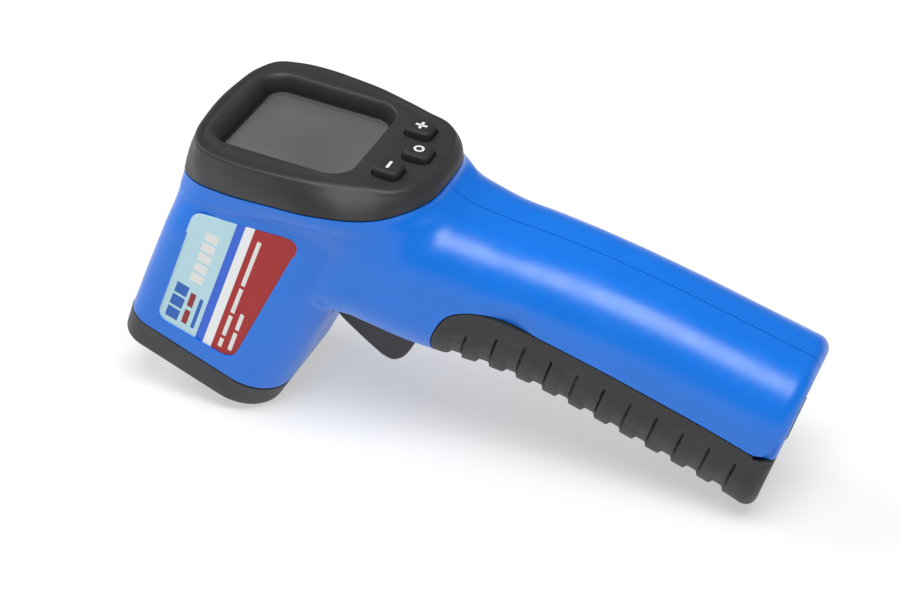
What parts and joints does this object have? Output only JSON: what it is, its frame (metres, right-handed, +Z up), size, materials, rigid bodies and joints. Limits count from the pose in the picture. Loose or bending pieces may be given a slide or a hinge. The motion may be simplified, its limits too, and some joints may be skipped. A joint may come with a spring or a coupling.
{
  "type": "infrared thermometer",
  "caption": "Pistol-shaped non-contact thermometer: split plastic housing with a tilted display and keys, a pivoted trigger, front optics and a hinged ribbed grip cover over battery cells.",
  "frame": {"origin": "bottom centre of the box round the instrument as it rests on a table on its nose edge and the toe of its grip", "axes": "+X from nose to the end of the grip, +Z up, mirror plane XZ, the instrument's left side toward -Y"},
  "size_m": [0.1654, 0.05, 0.0738],
  "materials": {
    "blue_housing": "moulded blue plastic with a fine satin texture",
    "black_plastic": "moulded black plastic, satin",
    "black_grip": "soft-touch black plastic, fine grain",
    "key_rubber": "textured dark rubber with pale printed symbols",
    "clear_window": "clear hard window",
    "liquid_crystal": "grey reflective display glass",
    "white_plastic": "white plastic",
    "diffuser": "milky light guide",
    "grey_rubber": "layered rubber connector",
    "circuit_board": "green solder mask",
    "switch_plastic": "moulded component body",
    "plated_steel": "zinc plated steel",
    "spring_steel": "drawn spring wire",
    "nickel_can": "nickel plated sheet",
    "brass_case": "turned brass",
    "dark_metal": "black anodised tube",
    "lens_material": "milky infrared lens",
    "printed_label": "laminated print, coloured panels",
    "cell_jacket": "shrink jacket on a steel can",
    "red_insulation": "red wire insulation",
    "black_insulation": "black wire insulation"
  },
  "bodies": {
    "housing": {"backlight_panel": "diffuser", "battery_tray": "black_plastic", "black_wire": "black_insulation", "board_screws": "plated_steel", "buzzer": "switch_plastic", "cell_springs": "spring_steel", "connector_strips": "grey_rubber", "contact_plates": "nickel_can", "display_bezel": "black_plastic", "display_window": "clear_window", "front_plate": "black_plastic", "hinge_pin": "plated_steel", "housing_screws": "plated_steel", "infrared_lens": "lens_material", "key_switches": "switch_plastic", "lanyard_bracket": "black_plastic", "laser_module": "brass_case", "lcd_frame": "white_plastic", "lcd_panel": "liquid_crystal", "left_cell": "cell_jacket", "left_housing": "blue_housing", "left_label": "printed_label", "lens_tube": "dark_metal", "main_board": "circuit_board", "nose_bezel": "black_plastic", "processor": "switch_plastic", "red_wire": "red_insulation", "right_cell": "cell_jacket", "right_housing": "blue_housing", "right_label": "printed_label", "sensor_board": "circuit_board", "sensor_holder": "black_plastic", "switch_board": "circuit_board", "thermopile_sensor": "nickel_can", "trigger_pin": "plated_steel", "trigger_spring": "spring_steel", "trigger_switch": "switch_plastic"},
    "trigger": {"trigger": "black_plastic"},
    "battery_door": {"battery_door": "black_grip"},
    "key_plus": {"key_plus": "key_rubber"},
    "key_function": {"key_function": "key_rubber"},
    "key_minus": {"key_minus": "key_rubber"}
  },
  "joints": [
    {"name": "trigger_pull", "type": "hinge", "parent": "housing", "child": "trigger", "pos_m": [-0.02678, 0, 0.03619], "axis": [0, -1, 0], "range_deg": [0, 8], "stiffness_Nm_per_rad": 0.03, "springref_deg": -11.46, "deforming": ["trigger_spring"]},
    {"name": "door_hinge", "type": "hinge", "parent": "housing", "child": "battery_door", "pos_m": [0.07542, 0, 0.01909], "axis": [0, -1, 0], "range_deg": [0, 75]},
    {"name": "plus_press", "type": "slide", "parent": "housing", "child": "key_plus", "axis": [-0.0889, 0, -0.996], "range_m": [0, 0.0008], "stiffness_N_per_m": 300, "springref_m": -0.0005},
    {"name": "function_press", "type": "slide", "parent": "housing", "child": "key_function", "axis": [-0.0889, 0, -0.996], "range_m": [0, 0.0008], "stiffness_N_per_m": 300, "springref_m": -0.0005},
    {"name": "minus_press", "type": "slide", "parent": "housing", "child": "key_minus", "axis": [-0.0889, 0, -0.996], "range_m": [0, 0.0008], "stiffness_N_per_m": 300, "springref_m": -0.0005}
  ]
}
